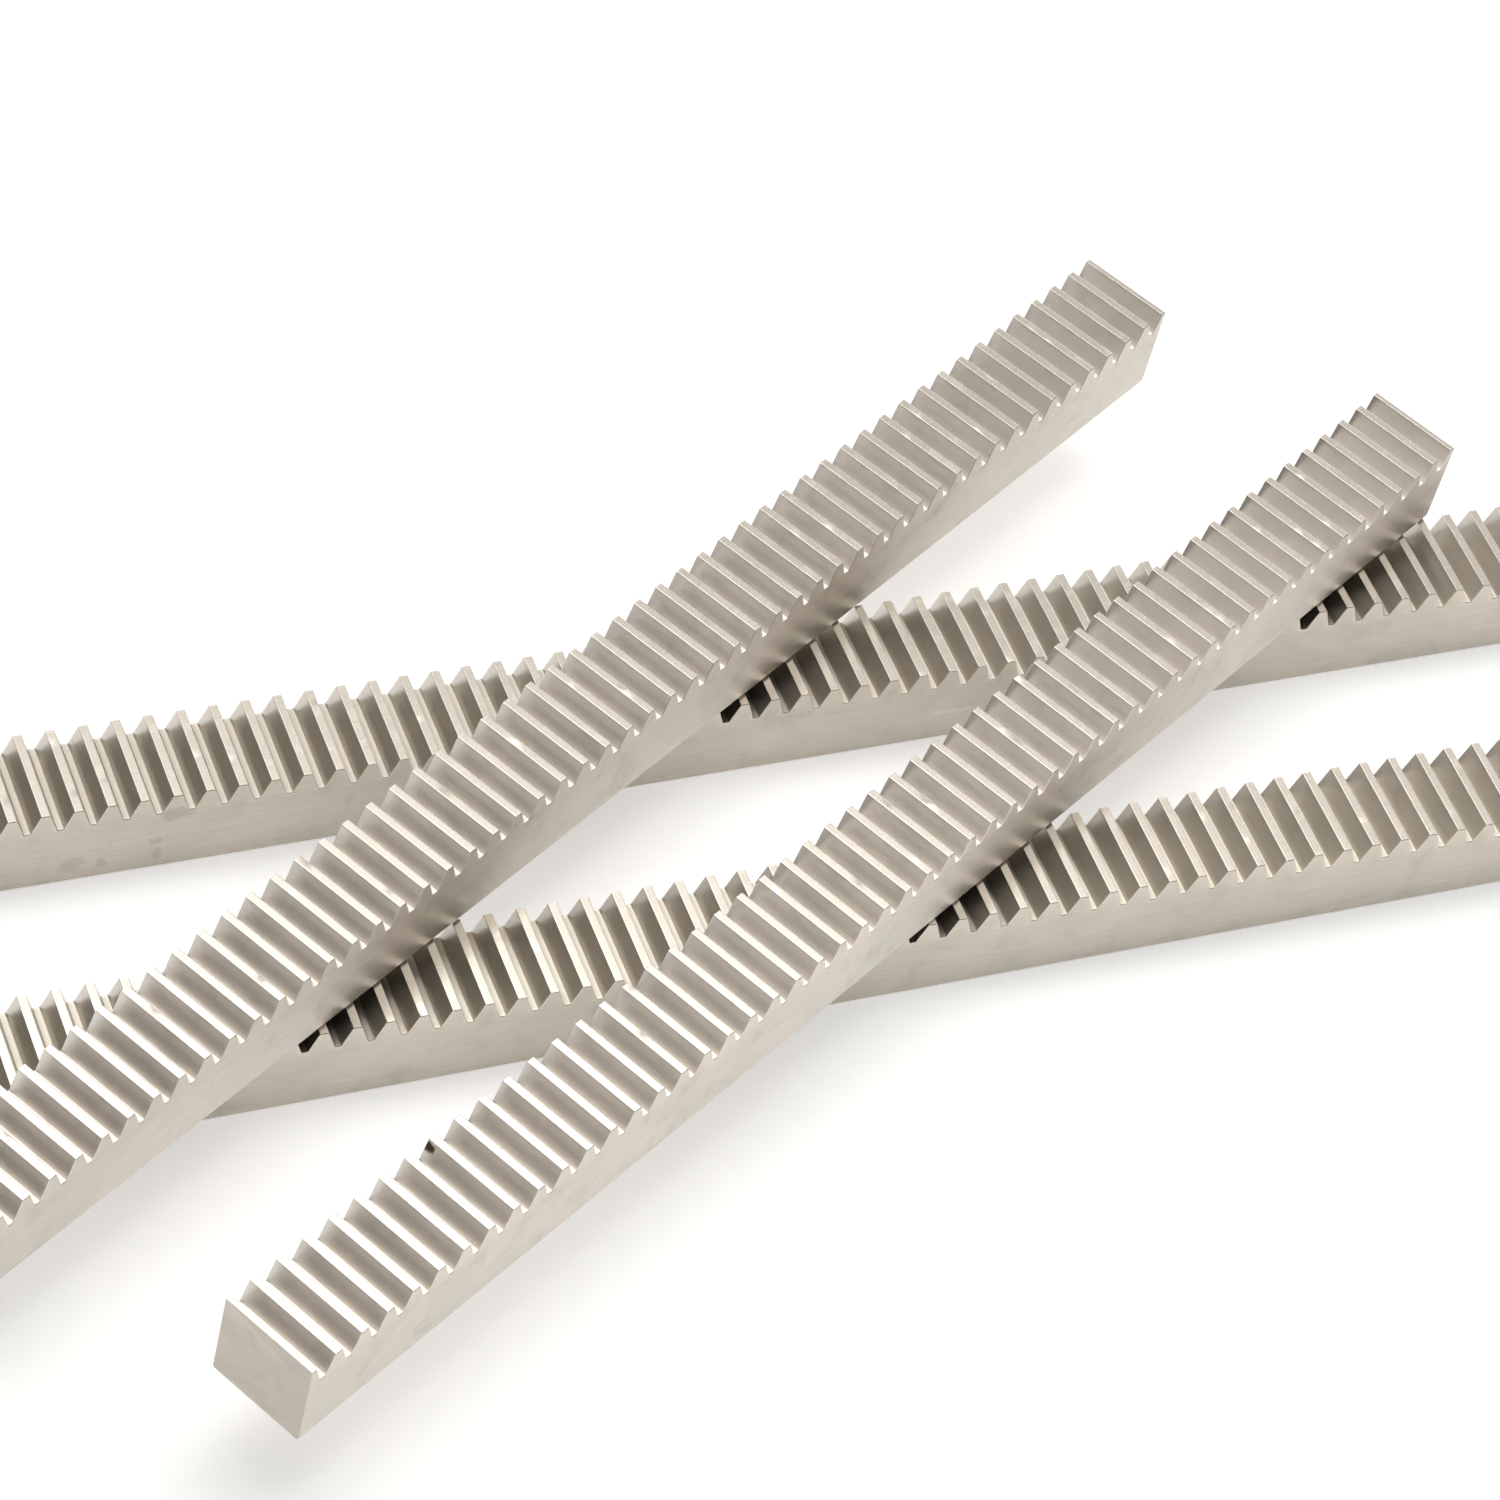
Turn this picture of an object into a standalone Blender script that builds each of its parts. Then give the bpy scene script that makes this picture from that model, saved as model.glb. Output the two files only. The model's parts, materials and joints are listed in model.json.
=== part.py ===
"""Four straight-toothed gear racks laid in two crossed layers.

Two racks lie side by side on the ground along X, teeth up.  Two more lie
across them, teeth up, on the crests of the lower pair.  Every rack is the
same plain square bar with full-depth 20 degree teeth milled into its top.
"""
import math

import bmesh
import bpy
from mathutils import Matrix, Vector

MODULE = 0.0015
PRESSURE_ANGLE = math.radians(20.0)
PITCH = math.pi * MODULE
ADDENDUM = 1.0 * MODULE
DEDENDUM = 1.25 * MODULE
ROOT_RADIUS = 0.12 * MODULE
ROOT_STEPS = 2
PITCHES = 53

LENGTH = 0.250
WIDTH = 0.015
HEIGHT = 0.015
EDGE_BREAK = 0.0003
REST_GAP = 0.0003

LOWER_BACK_XY = (0.01298, 0.02820)
LOWER_FRONT_XY = (-0.00330, -0.01559)
UPPER_LEFT_XY = (-0.02565, 0.01550)
UPPER_RIGHT_XY = (0.00690, -0.01748)
UPPER_LEFT_TURN = math.radians(29.66)
UPPER_RIGHT_TURN = math.radians(28.58)

TOOTH_HEIGHT = ADDENDUM + DEDENDUM
FLANK_RUN = TOOTH_HEIGHT * math.tan(PRESSURE_ANGLE)
TOP_LAND = PITCH / 2 - 2 * ADDENDUM * math.tan(PRESSURE_ANGLE)
UPPER_LEVEL = HEIGHT + REST_GAP

# name: centre of the underside, level, turn about Z, colour
RACKS = {
    "lower_back_rack": (LOWER_BACK_XY, 0.0, 0.0, (0.53, 0.50, 0.46, 1.0)),
    "lower_front_rack": (LOWER_FRONT_XY, 0.0, 0.0, (0.55, 0.52, 0.48, 1.0)),
    "upper_left_rack": (UPPER_LEFT_XY, UPPER_LEVEL, UPPER_LEFT_TURN, (0.60, 0.57, 0.53, 1.0)),
    "upper_right_rack": (UPPER_RIGHT_XY, UPPER_LEVEL, UPPER_RIGHT_TURN, (0.62, 0.59, 0.55, 1.0)),
}


def clear_scene():
    for old in list(bpy.data.objects):
        bpy.data.objects.remove(old, do_unlink=True)


def steel(name, colour):
    """Milled steel in the given tint."""
    material = bpy.data.materials.new(name)
    material.use_nodes = True
    shader = material.node_tree.nodes["Principled BSDF"]
    shader.inputs["Base Color"].default_value = colour
    shader.inputs["Metallic"].default_value = 1.0
    shader.inputs["Roughness"].default_value = 0.38
    material.diffuse_color = colour
    return material


def root_fillet(corner_x, root_z, side):
    """Points of the fillet in one corner of a tooth space.

    side is 1 for the corner under the tooth on the left, and -1 for the
    corner under the tooth on the right.
    """
    tangent = ROOT_RADIUS * math.tan((math.pi / 2 - PRESSURE_ANGLE) / 2)
    centre_x = corner_x + side * tangent
    centre_z = root_z + ROOT_RADIUS
    start = math.pi + PRESSURE_ANGLE
    sweep = math.pi / 2 - PRESSURE_ANGLE
    points = []
    for step in range(ROOT_STEPS + 1):
        angle = start + sweep * step / ROOT_STEPS
        x = centre_x + side * ROOT_RADIUS * math.cos(angle)
        z = centre_z + ROOT_RADIUS * math.sin(angle)
        points.append((x, z))
    return points if side > 0 else points[::-1]


def tooth_space(left_tip_x):
    """Points from the fillet under one tooth to the fillet under the next."""
    root_z = HEIGHT - TOOTH_HEIGHT
    left = left_tip_x + FLANK_RUN
    right = left_tip_x + PITCH - TOP_LAND - FLANK_RUN
    return root_fillet(left, root_z, 1) + root_fillet(right, root_z, -1)


def rack_outline():
    """Side view of the bar in X and Z; both ends cut a tooth in half."""
    half = LENGTH / 2
    points = [(-half, 0.0), (-half, HEIGHT)]
    for index in range(PITCHES):
        tooth_x = (index - PITCHES / 2) * PITCH
        tip = tooth_x + TOP_LAND / 2
        points.append((tip, HEIGHT))
        points.extend(tooth_space(tip))
        points.append((tooth_x + PITCH - TOP_LAND / 2, HEIGHT))
    points.extend([(half, HEIGHT), (half, 0.0)])
    return points


def rack_mesh(name):
    """The outline extruded to the bar's width, with its lower edges broken."""
    mesh = bpy.data.meshes.new(name)
    bm = bmesh.new()
    outline = [bm.verts.new((x, -WIDTH / 2, z)) for x, z in rack_outline()]
    profile = bm.faces.new(outline)
    swept = bmesh.ops.extrude_face_region(bm, geom=[profile])
    moved = [item for item in swept["geom"] if isinstance(item, bmesh.types.BMVert)]
    bmesh.ops.translate(bm, verts=moved, vec=Vector((0.0, WIDTH, 0.0)))
    bmesh.ops.recalc_face_normals(bm, faces=bm.faces)
    lower = [edge for edge in bm.edges if all(abs(v.co.z) < 1e-7 for v in edge.verts)]
    bmesh.ops.bevel(bm, geom=lower, offset=EDGE_BREAK, segments=1, affect="EDGES")
    bmesh.ops.triangulate(bm, faces=bm.faces)
    bmesh.ops.recalc_face_normals(bm, faces=bm.faces)
    bm.to_mesh(mesh)
    bm.free()
    return mesh


def footprint_centre():
    """Middle of the box around all four bars, seen from above."""
    xs = []
    ys = []
    for centre, _level, turn, _colour in RACKS.values():
        spin = Matrix.Rotation(turn, 2)
        for u in (-LENGTH / 2, LENGTH / 2):
            for v in (-WIDTH / 2, WIDTH / 2):
                corner = Vector(centre) + spin @ Vector((u, v))
                xs.append(corner.x)
                ys.append(corner.y)
    return (min(xs) + max(xs)) / 2, (min(ys) + max(ys)) / 2


def add_rack(name, collection, stand, origin):
    centre, level, turn, colour = RACKS[name]
    rack = bpy.data.objects.new(name, rack_mesh(name))
    rack.data.materials.append(steel(name + "_steel", colour))
    rack.location = (centre[0] - origin[0], centre[1] - origin[1], level)
    rack.rotation_euler = (0.0, 0.0, turn)
    rack.parent = stand
    collection.objects.link(rack)
    return rack


def main():
    clear_scene()
    collection = bpy.data.collections.new("gear_rack_stack")
    bpy.context.scene.collection.children.link(collection)
    stand = bpy.data.objects.new("gear_rack_stack", None)
    collection.objects.link(stand)
    origin = footprint_centre()
    for name in RACKS:
        add_rack(name, collection, stand, origin)


main()
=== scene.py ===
"""Looks for four loose gear racks: detailed bars, milled steel, soft studio."""

import json
import math

import bpy
import numpy as np
from mathutils import Matrix, Vector


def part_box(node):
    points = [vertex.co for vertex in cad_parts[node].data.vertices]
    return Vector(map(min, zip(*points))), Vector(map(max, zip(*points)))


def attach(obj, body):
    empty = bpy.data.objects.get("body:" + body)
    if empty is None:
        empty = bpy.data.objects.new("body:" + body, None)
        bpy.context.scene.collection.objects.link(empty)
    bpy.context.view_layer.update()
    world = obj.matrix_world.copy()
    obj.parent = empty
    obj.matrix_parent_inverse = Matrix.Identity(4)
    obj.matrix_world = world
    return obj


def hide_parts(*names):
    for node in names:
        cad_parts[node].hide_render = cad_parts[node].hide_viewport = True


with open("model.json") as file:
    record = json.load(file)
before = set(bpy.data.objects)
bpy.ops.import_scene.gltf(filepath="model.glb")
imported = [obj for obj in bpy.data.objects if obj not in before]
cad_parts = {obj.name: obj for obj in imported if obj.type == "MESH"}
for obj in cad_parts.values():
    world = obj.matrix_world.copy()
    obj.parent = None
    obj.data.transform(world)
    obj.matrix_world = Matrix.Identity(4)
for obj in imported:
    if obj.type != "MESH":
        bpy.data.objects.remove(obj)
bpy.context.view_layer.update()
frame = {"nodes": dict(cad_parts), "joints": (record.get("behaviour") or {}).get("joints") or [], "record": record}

# ---------------------------------------------------------------- sizes, in metres
MODULE = 0.0015
PRESSURE_ANGLE = math.radians(20.0)
PITCH = math.pi * MODULE
TOOTH_HEIGHT = 2.25 * MODULE
TOP_LAND = PITCH / 2 - 2 * MODULE * math.tan(PRESSURE_ANGLE)
FLANK_RUN = TOOTH_HEIGHT * math.tan(PRESSURE_ANGLE)
ROOT_RADIUS = 0.12 * MODULE
ROOT_STEPS = 4
TIP_RADIUS = 0.00008
TIP_STEPS = 3
TIP_MARGIN = 0.00012  # flat strip kept on each side of a rounded tip
PITCHES = 53
BAR_LENGTH = 0.250
BAR_WIDTH = 0.015
BAR_HEIGHT = 0.015
SIDE_BREAK = 0.00007  # broken edge between the teeth and the sides
LOWER_BREAK = 0.0003  # broken edge between the sides and the underside
SIDE_BAND = 0.0008  # the sides' level line is this far below the tooth roots
STATIONS = 31  # rows of points across the teeth
SHARP_ANGLE = math.radians(30)
SIDE_WEAR = 0.6  # how worn the tooth edges along the two sides are

# dents that handling leaves along the tooth tips
NICKS = 30
NICK_DEPTH = (0.00002, 0.00006)
NICK_LENGTH = (0.0003, 0.0009)
NICK_WIDTH = 0.00016
NICK_FADE = 0.0004  # no dent further than this below the crests
NICK_LEAN = 0.45  # sideways part of a dent's push

# ---------------------------------------------------------------- camera
CAMERA_AT = Vector((-0.27517, -0.41532, 0.57081))
CAMERA_HEADING = math.radians(57.366)
CAMERA_TILT = math.radians(47.573)
CAMERA_ROLL = math.radians(15.982)
CAMERA_LENS = 126.93
SENSOR_WIDTH = 36.0
CLIP_RANGE = (0.01, 20.0)


def add_camera():
    head, tilt, roll = CAMERA_HEADING, CAMERA_TILT, CAMERA_ROLL
    flat = Vector((math.cos(head), math.sin(head), 0.0))
    forward = flat * math.cos(tilt) - Vector((0.0, 0.0, math.sin(tilt)))
    right = Vector((math.sin(head), -math.cos(head), 0.0))
    above = flat * math.sin(tilt) + Vector((0.0, 0.0, math.cos(tilt)))
    across = right * math.cos(roll) + above * math.sin(roll)
    upward = above * math.cos(roll) - right * math.sin(roll)
    data = bpy.data.cameras.new("camera")
    data.lens = CAMERA_LENS
    data.sensor_width = SENSOR_WIDTH
    data.clip_start, data.clip_end = CLIP_RANGE
    camera = bpy.data.objects.new("camera", data)
    turn = Matrix((across, upward, -forward)).transposed()
    camera.matrix_world = Matrix.Translation(CAMERA_AT) @ turn.to_4x4()
    bpy.context.scene.collection.objects.link(camera)
    bpy.context.scene.camera = camera


add_camera()


# ---------------------------------------------------------------- outline
def arc(centre, radius, start, end, steps):
    """Points on an arc in X and Z, both ends included."""
    points = []
    for step in range(steps + 1):
        angle = start + (end - start) * step / steps
        x = centre[0] + radius * math.cos(angle)
        z = centre[1] + radius * math.sin(angle)
        points.append((x, z))
    return points


def tip_arc(corner_x, side):
    """The rounded corner of a tooth's top; side is 1 on its +X side.

    One more point on the land and one on the flank keep the bright rounding
    narrow, so that the flats next to it stay flat.
    """
    tangent = TIP_RADIUS * math.tan((math.pi / 2 - PRESSURE_ANGLE) / 2)
    centre = (corner_x - side * tangent, BAR_HEIGHT - TIP_RADIUS)
    points = arc(centre, TIP_RADIUS, math.pi / 2, PRESSURE_ANGLE, TIP_STEPS)
    low_x, low_z = points[-1]
    down_x = low_x + TIP_MARGIN * math.sin(PRESSURE_ANGLE)
    down_z = low_z - TIP_MARGIN * math.cos(PRESSURE_ANGLE)
    points = [(centre[0] - TIP_MARGIN, BAR_HEIGHT)] + points + [(down_x, down_z)]
    if side > 0:
        return points
    return [(2 * centre[0] - x, z) for x, z in points][::-1]


def root_arc(corner_x, side):
    """The fillet in a tooth space; side is 1 under the tooth on its left."""
    tangent = ROOT_RADIUS * math.tan((math.pi / 2 - PRESSURE_ANGLE) / 2)
    centre = (corner_x + tangent, BAR_HEIGHT - TOOTH_HEIGHT + ROOT_RADIUS)
    points = arc(centre, ROOT_RADIUS, math.pi + PRESSURE_ANGLE, 1.5 * math.pi, ROOT_STEPS)
    if side > 0:
        return points
    return [(2 * corner_x - x, z) for x, z in points][::-1]


LAND, FLANK, ROOT, SIDE, END, UNDER = range(6)
TIP_WEAR = [0.0, 0.8, 1.0, 1.0, 0.8, 0.0]
ROOT_WEAR = [0.0] * (ROOT_STEPS + 1)


def top_line():
    """The toothed top from -X to +X: points, each run's surface, each point's wear."""
    points = [(-BAR_LENGTH / 2, BAR_HEIGHT)]
    kinds = []
    wear = [0.0]
    for index in range(PITCHES):
        tooth_x = (index - PITCHES / 2) * PITCH
        tip = tooth_x + TOP_LAND / 2
        next_tip = tooth_x + PITCH - TOP_LAND / 2
        for run, surfaces, worn in (
            (tip_arc(tip, 1), [LAND] * 2 + [FLANK] * 4, TIP_WEAR),
            (root_arc(tip + FLANK_RUN, 1), [FLANK] * 5, ROOT_WEAR),
            (root_arc(next_tip - FLANK_RUN, -1), [ROOT] + [FLANK] * 4, ROOT_WEAR),
            (tip_arc(next_tip, -1), [FLANK] * 5 + [LAND], TIP_WEAR),
        ):
            points.extend(run)
            kinds.extend(surfaces)
            wear.extend(worn)
    points.append((BAR_LENGTH / 2, BAR_HEIGHT))
    kinds.append(LAND)
    wear.append(0.0)
    return points, kinds, wear


def inset(points, amount):
    """The open line moved inwards (down and into the metal) by amount."""
    line = np.array(points)
    step = np.diff(line, axis=0)
    normal = np.stack([step[:, 1], -step[:, 0]], 1)
    normal /= np.linalg.norm(normal, axis=1)[:, None]
    before = np.vstack([normal[:1], normal])
    after = np.vstack([normal, normal[-1:]])
    bisector = before + after
    bisector /= (bisector * before).sum(1)[:, None]
    return line + bisector * amount


# ---------------------------------------------------------------- bar
def nick_edges(grid, rows_y, rng):
    """Dents the rounded tooth tips at random places, as handling does."""
    xs = grid[0, :, 0]
    for _ in range(NICKS):
        tooth = rng.integers(0, PITCHES)
        side = rng.choice((-1, 1))
        tooth_x = (tooth - PITCHES / 2) * PITCH + (0 if side > 0 else PITCH)
        tip_x = tooth_x + side * TOP_LAND / 2
        at_y = rng.uniform(-BAR_WIDTH / 2, BAR_WIDTH / 2)
        depth = rng.uniform(*NICK_DEPTH)
        length = rng.uniform(*NICK_LENGTH)
        along = np.exp(-(((rows_y - at_y) / length) ** 2))
        near_tip = np.exp(-(((xs - tip_x) / NICK_WIDTH) ** 2))
        high = np.clip((grid[0, :, 2] - BAR_HEIGHT + NICK_FADE) / NICK_FADE, 0, 1)
        push = depth * along[:, None] * (near_tip * high)[None, :]
        grid[:, :, 0] -= side * NICK_LEAN * push
        grid[:, :, 2] -= push


def rack_mesh(name, seed):
    """One closed bar in its own metres, and the surface that each face belongs to."""
    points, kinds, wear = top_line()
    rng = np.random.default_rng(seed)
    full = np.array(points)
    small = inset(points, SIDE_BREAK)
    small[0, 0] = full[0, 0]
    small[-1, 0] = full[-1, 0]
    half = BAR_WIDTH / 2
    inner = np.linspace(-half + SIDE_BREAK, half - SIDE_BREAK, STATIONS)
    rows_y = np.concatenate([[-half], inner, [half]])
    count = len(full)
    rows = len(rows_y)
    grid = np.zeros((rows, count, 3))
    grid[:, :, 0] = full[:, 0]
    grid[:, :, 2] = full[:, 1]
    for row in (0, rows - 1):
        grid[row, :, 0] = small[:, 0]
        grid[row, :, 2] = small[:, 1]
    grid[:, :, 1] = rows_y[:, None]
    nick_edges(grid, rows_y, rng)
    vertices = [tuple(v) for v in grid.reshape(-1, 3)]
    faces = []
    marks = []
    for row in range(rows - 1):
        for col in range(count - 1):
            a = row * count + col
            faces.append((a, a + 1, a + 1 + count, a + count))
            marks.append(kinds[col])
    # each side: a strip of quads down to a level line, then one plain band
    levels = [BAR_HEIGHT - TOOTH_HEIGHT - SIDE_BAND, LOWER_BREAK]
    lowest = []
    for y, row, turn in ((-half, 0, 1), (half, rows - 1, -1)):
        upper = [row * count + i for i in range(count)]
        for level in levels:
            base = len(vertices)
            vertices.extend((x, y, level) for x in small[:, 0])
            for col in range(count - 1):
                quad = (base + col, base + col + 1, upper[col + 1], upper[col])
                faces.append(quad[::turn])
                marks.append(SIDE)
            upper = list(range(base, base + count))
        lowest.append(upper)
    near, far = lowest
    # the underside, with a broken edge along each side
    base = len(vertices)
    for y in (-half + LOWER_BREAK, half - LOWER_BREAK):
        vertices.extend((x, y, 0.0) for x in small[:, 0])
    under_near = list(range(base, base + count))
    under_far = list(range(base + count, base + 2 * count))
    for col in range(count - 1):
        for one, two, kind in (
            (near, under_near, SIDE), (under_near, under_far, UNDER), (under_far, far, SIDE)
        ):
            faces.append((one[col + 1], one[col], two[col], two[col + 1]))
            marks.append(kind)
    # the two ends
    for col, turn in ((0, 1), (count - 1, -1)):
        top = [row * count + col for row in range(rows)]
        ring = [under_far[col], under_near[col], near[col], near[col] - count] + top
        ring += [far[col] - count, far[col]]
        faces.append(tuple(ring[::turn]))
        marks.append(END)
    mesh = bpy.data.meshes.new(name)
    mesh.from_pydata(vertices, [], faces)
    mesh.update()
    mesh.polygons.foreach_set("use_smooth", [True] * len(faces))
    mesh.set_sharp_from_angle(angle=SHARP_ANGLE)
    edge_wear = np.tile(np.array(wear), (rows, 1))
    edge_wear[[0, 1, rows - 2, rows - 1]] = np.maximum(edge_wear[0], SIDE_WEAR)
    worn = np.zeros(len(vertices))
    worn[: rows * count] = edge_wear.reshape(-1)
    mesh.attributes.new("wear", "FLOAT", "POINT").data.foreach_set("value", worn)
    return mesh, marks


def bar_placement(node):
    """Where a CAD bar lies: centre of its underside and its direction."""
    low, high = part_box(node)
    centre = (low + high) / 2
    centre.z = low.z
    axis = Vector((1.0, 0.0, 0.0))
    for joint in frame["joints"]:
        if node in frame["record"]["behaviour"]["bodies"][joint["child"]]:
            axis = Vector(joint["axis"])
    return centre, math.atan2(axis.y, axis.x)


# ---------------------------------------------------------------- steel
class Recipe:
    """A material's node tree, built one short line at a time."""

    def __init__(self, name):
        self.material = bpy.data.materials.new(name)
        self.material.use_nodes = True
        self.tree = self.material.node_tree
        self.shader = self.tree.nodes["Principled BSDF"]

    def put(self, socket, value):
        if isinstance(value, bpy.types.NodeSocket):
            self.tree.links.new(value, socket)
        else:
            socket.default_value = value

    def add(self, kind, inputs=None, **settings):
        node = self.tree.nodes.new(kind)
        for key, value in settings.items():
            setattr(node, key, value)
        for key, value in (inputs or {}).items():
            self.put(node.inputs[key], value)
        return node

    def moved(self, vector, scale, location=(0.0, 0.0, 0.0), rotation=(0.0, 0.0, 0.0)):
        """The vector scaled, turned and shifted."""
        inputs = {"Vector": vector, "Scale": scale, "Location": location, "Rotation": rotation}
        return self.add("ShaderNodeMapping", inputs).outputs[0]

    def noise(self, vector, scale, detail=3.0, rough=0.55, distortion=0.0):
        inputs = {"Vector": vector, "Scale": scale, "Detail": detail, "Roughness": rough}
        inputs["Distortion"] = distortion
        return self.add("ShaderNodeTexNoise", inputs).outputs[0]

    def remap(self, value, low, high, to_low, to_high):
        inputs = {"Value": value, 1: low, 2: high, 3: to_low, 4: to_high}
        return self.add("ShaderNodeMapRange", inputs, interpolation_type="SMOOTHSTEP").outputs[0]

    def maths(self, operation, a, b):
        return self.add("ShaderNodeMath", {0: a, 1: b}, operation=operation).outputs[0]

    def mix(self, factor, a, b, blend="MIX"):
        node = self.add("ShaderNodeMix", data_type="RGBA", blend_type=blend)
        for index, value in ((0, factor), (6, a), (7, b)):
            self.put(node.inputs[index], value)
        return node.outputs[2]


# How each surface was made: its label, a cool and a warm tint, roughness,
# streaks as noise cells per metre along X, Y and Z, the streaks' depth in
# metres, how much the streaks show, and how much the oily smears show.
SURFACES = {
    LAND: (
        "land", (0.645, 0.600, 0.530), (0.668, 0.612, 0.545),
        0.24, (260, 5200, 5200), 0.0000006, 0.4, 0.05,
    ),
    FLANK: (
        "flank", (0.637, 0.609, 0.569), (0.668, 0.629, 0.591),
        0.32, (5200, 180, 5200), 0.0000014, 0.6, 0.12,
    ),
    ROOT: (
        "root", (0.545, 0.515, 0.460), (0.570, 0.525, 0.474),
        0.34, (5200, 180, 5200), 0.0000016, 1.0, 0.10,
    ),
    SIDE: (
        "side", (0.603, 0.574, 0.519), (0.650, 0.596, 0.545),
        0.46, (160, 4200, 4200), 0.0000022, 1.5, 0.18,
    ),
    END: (
        "end", (0.520, 0.482, 0.430), (0.560, 0.505, 0.450),
        0.50, (3000, 240, 1500), 0.0000120, 1.6, 0.16,
    ),
    UNDER: (
        "under", (0.550, 0.515, 0.460), (0.590, 0.530, 0.480),
        0.46, (160, 4200, 4200), 0.0000016, 1.0, 0.16,
    ),
}

# painted light and shade for each bar, as red, green and blue multipliers on every surface but the tooth crests:
# brighter on the upper bars, darker and warmer on the lower bars
BAR_PAINTED_LIGHT = {
    "lower_back_rack": (0.915, 0.910, 0.880),
    "lower_front_rack": (0.940, 0.936, 0.905),
    "upper_left_rack": (1.035, 1.035, 1.035),
    "upper_right_rack": (1.055, 1.055, 1.055),
}

# marks on one surface of one bar: centre and reach in the bar's own metres,
# colour, and how strong the mark is
MARKS = {
    ("upper_right_rack", FLANK): [
        ((-0.0881, 0.0072, 0.0139), (0.0016, 0.0013, 0.0011), (0.070, 0.038, 0.012), 0.97),
    ],
    ("lower_back_rack", SIDE): [
        ((-0.1107, -0.0075, 0.0036), (0.0022, 0.002, 0.0015), (0.24, 0.21, 0.17), 0.20),
        ((-0.1065, -0.0075, 0.0030), (0.0009, 0.002, 0.0012), (0.21, 0.18, 0.145), 0.22),
        ((-0.0990, -0.0075, 0.0058), (0.0011, 0.002, 0.0009), (0.24, 0.21, 0.17), 0.22),
        ((-0.0985, -0.0075, 0.0030), (0.0008, 0.002, 0.0014), (0.24, 0.21, 0.17), 0.20),
        ((-0.0965, -0.0075, 0.0112), (0.0030, 0.002, 0.0016), (0.21, 0.18, 0.145), 0.22),
        ((0.0228, -0.0075, 0.0058), (0.0036, 0.002, 0.0005), (0.80, 0.76, 0.70), 0.40),
    ],
}

# noise cells per metre of the broad clouds, the smears and the marks' ragged rims
CLOUD_CELLS = 95.0
SMEAR_CELLS = 210.0
RIM_CELLS = 900.0
SMEAR_TINT = (0.36, 0.33, 0.29, 1.0)
SMEAR_DULLS = 0.05
WORN_TINT = (0.78, 0.73, 0.66, 1.0)
WORN_SHOWS = 0.55
MARK_DULLS = 0.15
SEED_SHIFT = (0.37, 0.53, 0.71)

# the saw's bands across an end: their turn, number per metre and height
SAW_TURN = math.radians(24.0)
SAW_BANDS = 560.0
SAW_HEIGHT = 1.5


def add_mark(r, here, mark, colour, rough):
    """One ragged spot laid over the colour and the roughness."""
    centre, reach, tint, strength = mark
    scale = [1 / v for v in reach]
    offset = [-c / v for c, v in zip(centre, reach)]
    spot = r.add("ShaderNodeVectorMath", {0: r.moved(here, scale, offset)}, operation="LENGTH")
    rim = r.remap(r.noise(here, RIM_CELLS), 0.2, 0.8, -0.3, 0.3)
    ragged = r.maths("ADD", spot.outputs["Value"], rim)
    mask = r.remap(ragged, 0.55, 1.1, strength, 0.0)
    colour = r.mix(mask, colour, (*tint, 1.0))
    return colour, r.maths("ADD", rough, r.maths("MULTIPLY", mask, MARK_DULLS))


def saw_marks(r, here, streak):
    """The end's height: slanting bands of the saw over the fine streaks."""
    saw = r.moved(here, (1, 1, 1), rotation=(SAW_TURN, 0.0, 0.0))
    wave = {"Vector": saw, "Scale": SAW_BANDS, "Distortion": 3.0}
    wave.update({"Detail": 2.0, "Detail Scale": 1.5})
    band = r.add("ShaderNodeTexWave", wave, bands_direction="Z").outputs["Fac"]
    return r.maths("ADD", streak, r.maths("MULTIPLY", band, SAW_HEIGHT))


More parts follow.
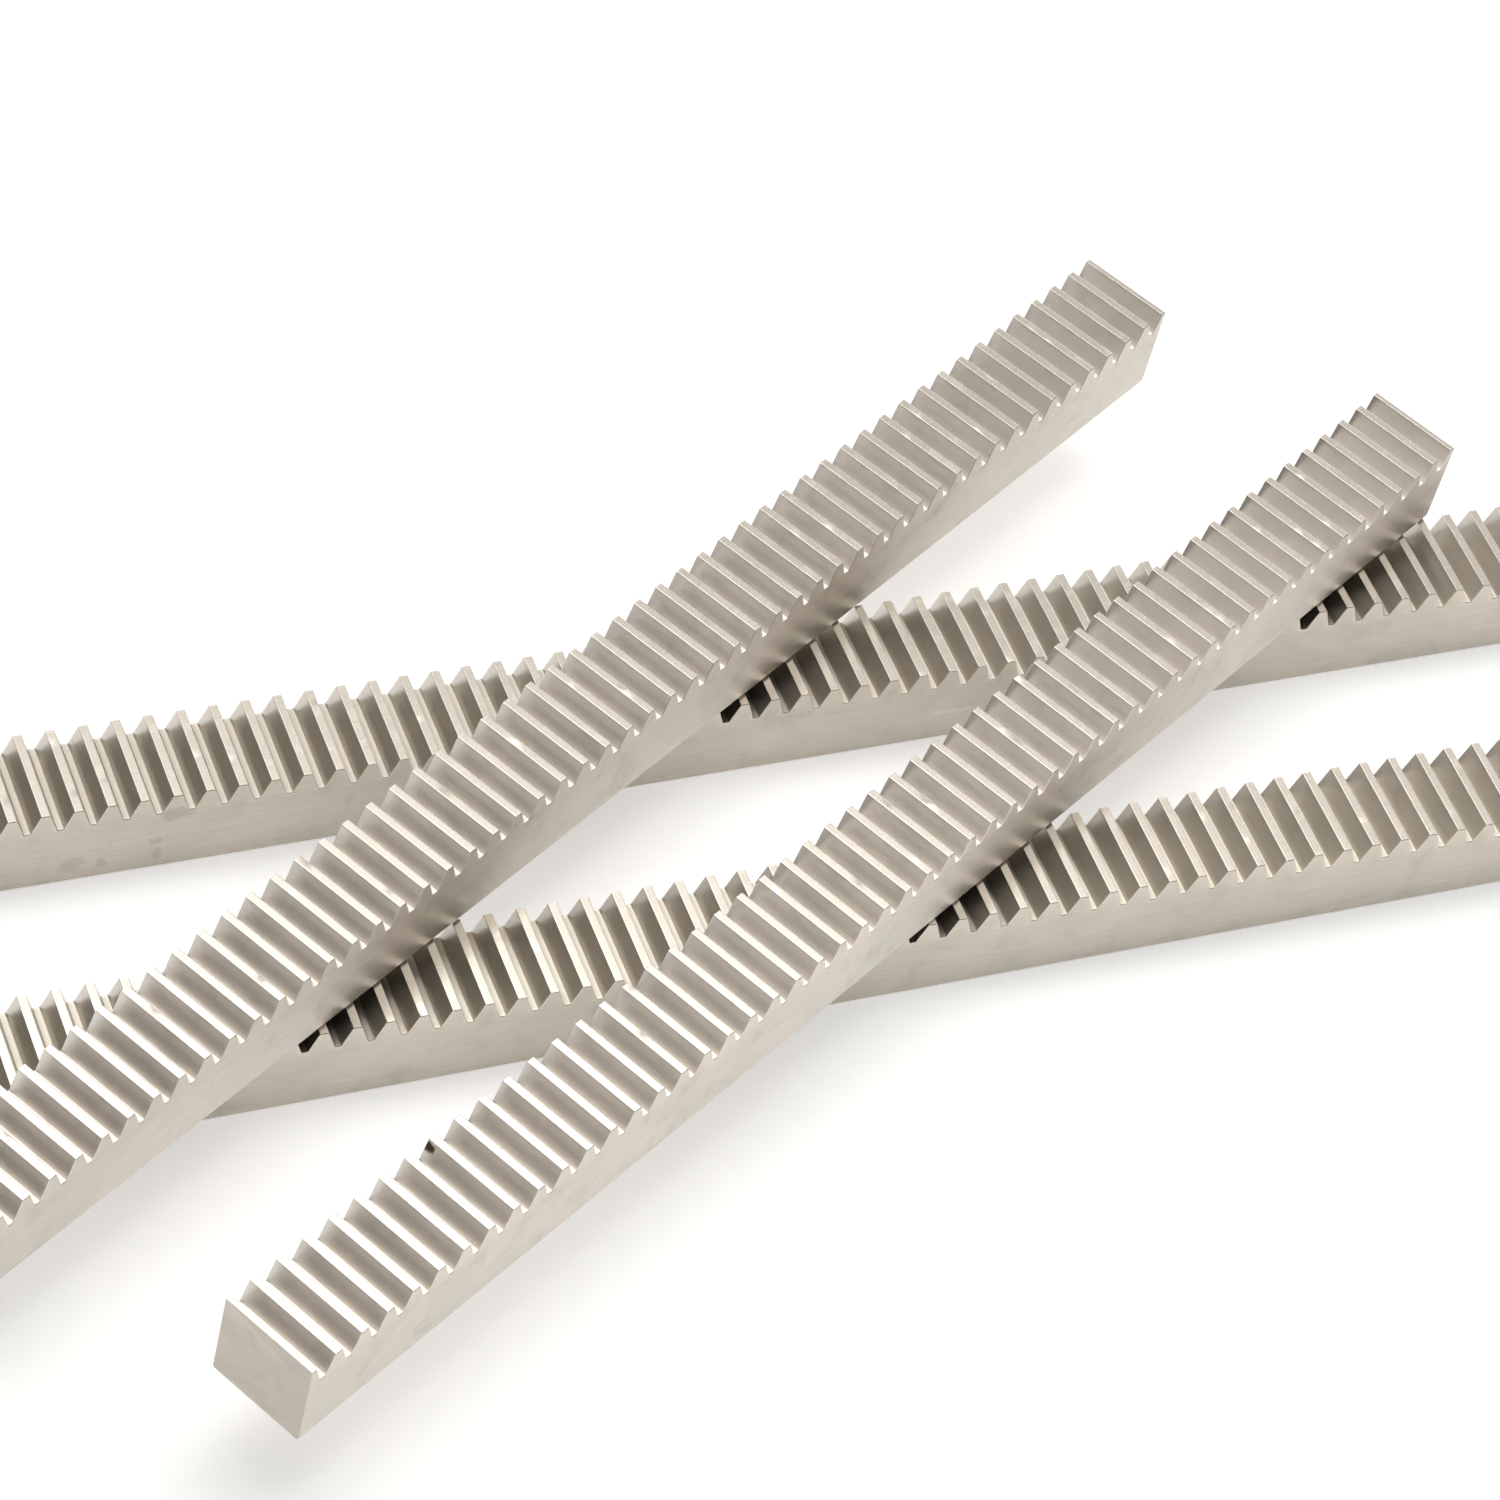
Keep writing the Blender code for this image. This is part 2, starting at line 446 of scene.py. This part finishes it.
def steel(node, kind, seed):
    """Bare milled steel: streaked, faintly clouded, brighter along its edges, and away from its crests brightened
    on the upper bars and darkened on the lower bars as painted light and shade.
    """
    label, cool, warm, roughness, streaks, depth, grain, oil = SURFACES[kind]
    # painted light and shade: every surface but the crests is scaled by the bar's brightening or darkening
    if kind != LAND:
        cool = [value * shade for value, shade in zip(cool, BAR_PAINTED_LIGHT[node])]
        warm = [value * shade for value, shade in zip(warm, BAR_PAINTED_LIGHT[node])]
    r = Recipe(node + "_" + label)
    here = r.add("ShaderNodeTexCoord").outputs["Object"]
    place = r.moved(here, (1, 1, 1), [seed * shift for shift in SEED_SHIFT])
    streak = r.noise(r.moved(place, streaks), 1.0, 4.0, 0.62)
    cloud = r.noise(place, CLOUD_CELLS, 3.0, 0.5, 0.3)
    film = r.noise(place, SMEAR_CELLS, 5.0, 0.62, 0.6)
    wear = r.add("ShaderNodeAttribute", attribute_name="wear").outputs["Fac"]
    colour = r.mix(r.remap(cloud, 0.36, 0.64, 0.0, 1.0), (*cool, 1.0), (*warm, 1.0))
    tone = r.remap(streak, 0.25, 0.75, 1 - 0.07 * grain, 1 + 0.05 * grain)
    colour = r.mix(1.0, colour, tone, "MULTIPLY")
    smear = r.remap(film, 0.50, 0.72, 0.0, 1.0)
    colour = r.mix(r.maths("MULTIPLY", smear, oil), colour, SMEAR_TINT)
    colour = r.mix(r.maths("MULTIPLY", wear, WORN_SHOWS), colour, WORN_TINT)
    swing = 0.05 * grain
    rough = r.remap(streak, 0.2, 0.8, roughness - swing, roughness + swing)
    rough = r.maths("ADD", rough, r.maths("MULTIPLY", smear, SMEAR_DULLS))
    for mark in MARKS.get((node, kind), ()):
        colour, rough = add_mark(r, here, mark, colour, rough)
    height = saw_marks(r, here, streak) if kind == END else streak
    bump = r.add("ShaderNodeBump", {"Strength": 1.0, "Distance": depth, "Height": height})
    r.put(r.shader.inputs["Base Color"], colour)
    r.put(r.shader.inputs["Roughness"], rough)
    r.put(r.shader.inputs["Normal"], bump.outputs[0])
    r.shader.inputs["Metallic"].default_value = 1.0
    return r.material


def add_rack(node, seed):
    body = next(b for b, ns in frame["record"]["behaviour"]["bodies"].items() if node in ns)
    mesh, marks = rack_mesh(node + "_bar", seed)
    rack = bpy.data.objects.new(node + "_bar", mesh)
    bpy.context.scene.collection.objects.link(rack)
    centre, turn = bar_placement(node)
    rack.matrix_world = Matrix.Translation(centre) @ Matrix.Rotation(turn, 4, "Z")
    for kind in SURFACES:
        mesh.materials.append(steel(node, kind, seed))
    mesh.polygons.foreach_set("material_index", marks)
    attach(rack, body)
    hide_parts(node)


for seed, node in enumerate(sorted(frame["nodes"]), 1):
    add_rack(node, seed)


# ---------------------------------------------------------------- studio
FLOOR_HALF = 12.0
FLOOR_DROP = 0.00005
FLOOR_PAINT = (0.90, 0.895, 0.885, 1.0)
FLOOR_GLOW = 0.42
FLOOR_ROUGHNESS = 0.9

# the room's brightness by height, as ramp position and level; the first two
# are the ramp's own ends
ROOM = [(0.0, 0.30), (1.0, 1.60), (0.34, 0.34), (0.45, 3.30), (0.60, 0.52), (0.78, 0.50)]

# the room darkens towards some sides: the side, the cosines between which
# the shade changes, and the share of light at each
SHADES = [
    ((-0.64, 0.77, 0.0), 0.25, 0.70, 1.0, 0.22),
    ((0.98, -0.17, 0.0), 0.48, 0.72, 1.0, 0.25),
    ((0.50, 0.87, 0.0), -0.40, 0.10, 0.08, 1.0),
]

# name, compass heading from +X, height angle, size, watts, colour
SOFTBOXES = [
    ("softbox_back", 72, 72, (1.44, 1.26), 13.5, (1.0, 0.985, 0.95)),
    ("softbox_right", 3, 48, (1.3, 0.9), 6.0, (1.0, 0.985, 0.955)),
]
SOFTBOX_DISTANCE = 1.8


def add_floor():
    mesh = bpy.data.meshes.new("floor")
    s = FLOOR_HALF
    mesh.from_pydata([(-s, -s, 0), (s, -s, 0), (s, s, 0), (-s, s, 0)], [], [(0, 1, 2, 3)])
    floor = bpy.data.objects.new("floor", mesh)
    floor.location.z = -FLOOR_DROP
    bpy.context.scene.collection.objects.link(floor)
    paint = bpy.data.materials.new("floor_paint")
    paint.use_nodes = True
    shader = paint.node_tree.nodes["Principled BSDF"]
    shader.inputs["Base Color"].default_value = FLOOR_PAINT
    shader.inputs["Roughness"].default_value = FLOOR_ROUGHNESS
    shader.inputs["Specular IOR Level"].default_value = 0.0
    shader.inputs["Emission Color"].default_value = (1.0, 1.0, 1.0, 1.0)
    shader.inputs["Emission Strength"].default_value = FLOOR_GLOW
    mesh.materials.append(paint)


def add_softbox(name, heading, elevation, size, watts, colour):
    """A rectangular light that faces the origin."""
    data = bpy.data.lights.new(name, "AREA")
    data.shape = "RECTANGLE"
    data.size, data.size_y = size
    data.energy = watts
    data.color = colour
    light = bpy.data.objects.new(name, data)
    h, e = math.radians(heading), math.radians(elevation)
    toward = Vector((math.cos(e) * math.cos(h), math.cos(e) * math.sin(h), math.sin(e)))
    light.location = toward * SOFTBOX_DISTANCE
    light.rotation_euler = (-light.location).to_track_quat("-Z", "Y").to_euler()
    bpy.context.scene.collection.objects.link(light)


def add_room():
    """The world: a ramp by height, dimmed towards the shaded sides."""
    world = bpy.data.worlds.new("studio")
    world.use_nodes = True
    nodes, links = world.node_tree.nodes, world.node_tree.links
    background = nodes["Background"]
    coords = nodes.new("ShaderNodeTexCoord")
    split = nodes.new("ShaderNodeSeparateXYZ")
    ramp = nodes.new("ShaderNodeValToRGB")
    stops = ramp.color_ramp.elements
    for index, (height, level) in enumerate(ROOM):
        stop = stops[index] if index < 2 else stops.new(height)
        stop.color = (level, level * 0.99, level * 0.97, 1.0)
    links.new(coords.outputs["Generated"], split.inputs[0])
    links.new(split.outputs["Z"], ramp.inputs["Fac"])
    light = ramp.outputs["Color"]
    for toward, *limits in SHADES:
        across = nodes.new("ShaderNodeVectorMath")
        across.operation = "DOT_PRODUCT"
        across.inputs[1].default_value = toward
        shade = nodes.new("ShaderNodeMapRange")
        for index, value in enumerate(limits, 1):
            shade.inputs[index].default_value = value
        dimmed = nodes.new("ShaderNodeVectorMath")
        dimmed.operation = "SCALE"
        links.new(coords.outputs["Generated"], across.inputs[0])
        links.new(across.outputs["Value"], shade.inputs["Value"])
        links.new(light, dimmed.inputs[0])
        links.new(shade.outputs[0], dimmed.inputs["Scale"])
        light = dimmed.outputs[0]
    links.new(light, background.inputs["Color"])
    background.inputs["Strength"].default_value = 1.0
    bpy.context.scene.world = world


bpy.context.scene.view_settings.view_transform = "Standard"
add_room()
add_floor()
for softbox in SOFTBOXES:
    add_softbox(*softbox)
